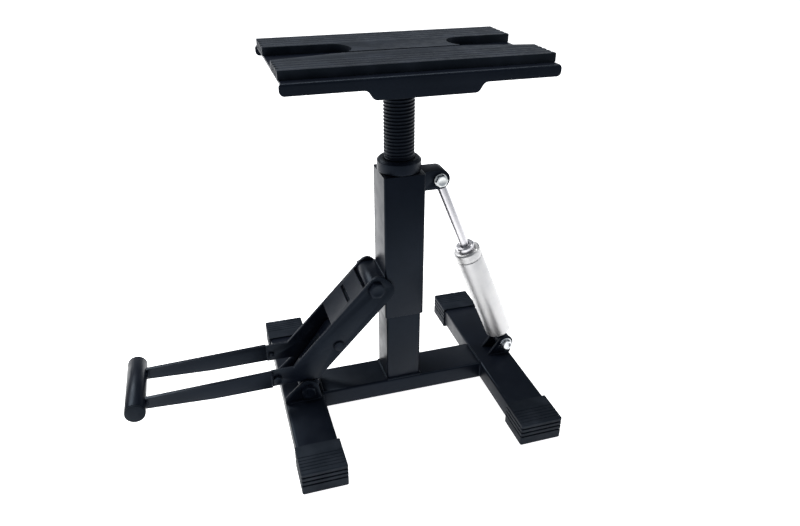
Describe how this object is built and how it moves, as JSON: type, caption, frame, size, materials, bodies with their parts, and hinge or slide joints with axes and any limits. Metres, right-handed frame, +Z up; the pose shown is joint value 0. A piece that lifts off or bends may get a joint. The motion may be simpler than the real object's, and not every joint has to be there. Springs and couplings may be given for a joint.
{
  "type": "lift stand",
  "caption": "Foot-pedal lift stand: tubular base with rubber caps, sliding square post, over-centre pedal lever, damper, screw-set platform with ribbed rubber pad",
  "frame": {"origin": "bottom centre of the bounding box, on the floor under the cross beam", "axes": "+X along the cross beam away from the pedal, +Y along the foot tubes away from the viewer's side, +Z up"},
  "size_m": [0.5084, 0.319, 0.455],
  "materials": {
    "black_coat": "semi-gloss black powder coat over steel",
    "black_rubber": "matte moulded black rubber",
    "zinc_steel": "bright zinc-plated steel",
    "damper_alloy": "satin turned aluminium",
    "chrome_steel": "polished hard chrome",
    "bronze": "plain oiled bronze"
  },
  "bodies": {
    "base": {"left_foot_tube": "black_coat", "right_foot_tube": "black_coat", "cross_beam": "black_coat", "inner_post": "black_coat", "foot_cap_left_near": "black_rubber", "foot_cap_left_far": "black_rubber", "foot_cap_right_near": "black_rubber", "foot_cap_right_far": "black_rubber", "pivot_ear_near": "black_coat", "pivot_ear_far": "black_coat", "stop_pin_near": "black_coat", "stop_pin_far": "black_coat", "link_pivot_bolt": "black_coat", "link_pivot_nut": "black_coat", "damper_foot_lug_near": "black_coat", "damper_foot_lug_far": "black_coat", "damper_lower_bolt": "zinc_steel", "damper_lower_washer": "zinc_steel", "damper_lower_nut": "zinc_steel"},
    "sleeve": {"outer_sleeve": "black_coat", "sleeve_nut_block": "black_coat", "lever_pivot_boss": "black_coat", "damper_upper_bracket": "black_coat"},
    "ring": {"lock_ring": "black_coat"},
    "screw": {"threaded_rod": "black_coat"},
    "platform": {"mount_disc": "black_coat", "platform_plate": "black_coat", "rubber_pad": "black_rubber"},
    "lever": {"lever_channel": "black_coat", "foot_bar": "black_coat", "foot_bar_plug_near": "black_rubber", "foot_bar_plug_far": "black_rubber", "pedal_arm_near": "black_coat", "pedal_arm_far": "black_coat", "link_pin_near": "black_coat", "link_pin_far": "black_coat", "arm_bolt_near": "black_coat", "arm_bolt_far": "black_coat", "lever_pivot_bolt": "black_coat", "lever_pivot_nut": "black_coat"},
    "link": {"toggle_link": "black_coat", "link_bush": "bronze"},
    "damper_cylinder": {"damper_body": "damper_alloy", "damper_gland_ring": "damper_alloy", "damper_gland_nut": "chrome_steel", "damper_lower_eye": "black_coat", "lower_eye_bush": "black_rubber"},
    "damper_piston_rod": {"damper_rod": "chrome_steel", "damper_piston": "damper_alloy", "damper_rod_eye": "black_coat", "upper_eye_bush": "black_rubber", "damper_upper_bolt": "zinc_steel", "damper_upper_washer_near": "zinc_steel", "damper_upper_washer_far": "zinc_steel", "damper_upper_nut": "zinc_steel"}
  },
  "joints": [
    {"name": "lift", "type": "slide", "parent": "base", "child": "sleeve", "axis": [0, 0, 1], "range_m": [-0.092, 0]},
    {"name": "lever_pivot", "type": "hinge", "parent": "sleeve", "child": "lever", "pos_m": [0.05325, 0, 0.175], "axis": [0, 1, 0], "range_deg": [0, 77.3]},
    {"name": "link_pivot", "type": "hinge", "parent": "base", "child": "link", "pos_m": [-0.03925, 0, 0.044], "axis": [0, 1, 0], "range_deg": [-28.87, 0]},
    {"name": "damper_pivot", "type": "hinge", "parent": "base", "child": "damper_cylinder", "pos_m": [0.24325, 0, 0.045], "axis": [0, 1, 0], "range_deg": [-10.34, 0]},
    {"name": "damper_stroke", "type": "slide", "parent": "damper_cylinder", "child": "damper_piston_rod", "axis": [-0.3795, 0, 0.9252], "range_m": [-0.082, 0]},
    {"name": "screw_rise", "type": "slide", "parent": "sleeve", "child": "screw", "axis": [0, 0, 1], "range_m": [-0.0801, 0.0201]},
    {"name": "platform_turn", "type": "hinge", "parent": "screw", "child": "platform", "pos_m": [0.09075, 0, 0.44], "axis": [0, 0, 1], "range_deg": [-7200, 1800]},
    {"name": "lock_ring_turn", "type": "hinge", "parent": "sleeve", "child": "ring", "pos_m": [0.09075, 0, 0.323], "axis": [0, 0, 1], "continuous": true}
  ],
  "couplings": [
    {"joint": "lever_pivot", "follows": "lift", "rad_per_m": -14.662},
    {"joint": "link_pivot", "follows": "lift", "rad_per_m": 5.4745},
    {"joint": "damper_pivot", "follows": "lift", "rad_per_m": 1.9593},
    {"joint": "damper_stroke", "follows": "lift", "ratio": 0.89091},
    {"joint": "screw_rise", "follows": "platform_turn", "m_per_rad": 0.00063662}
  ]
}
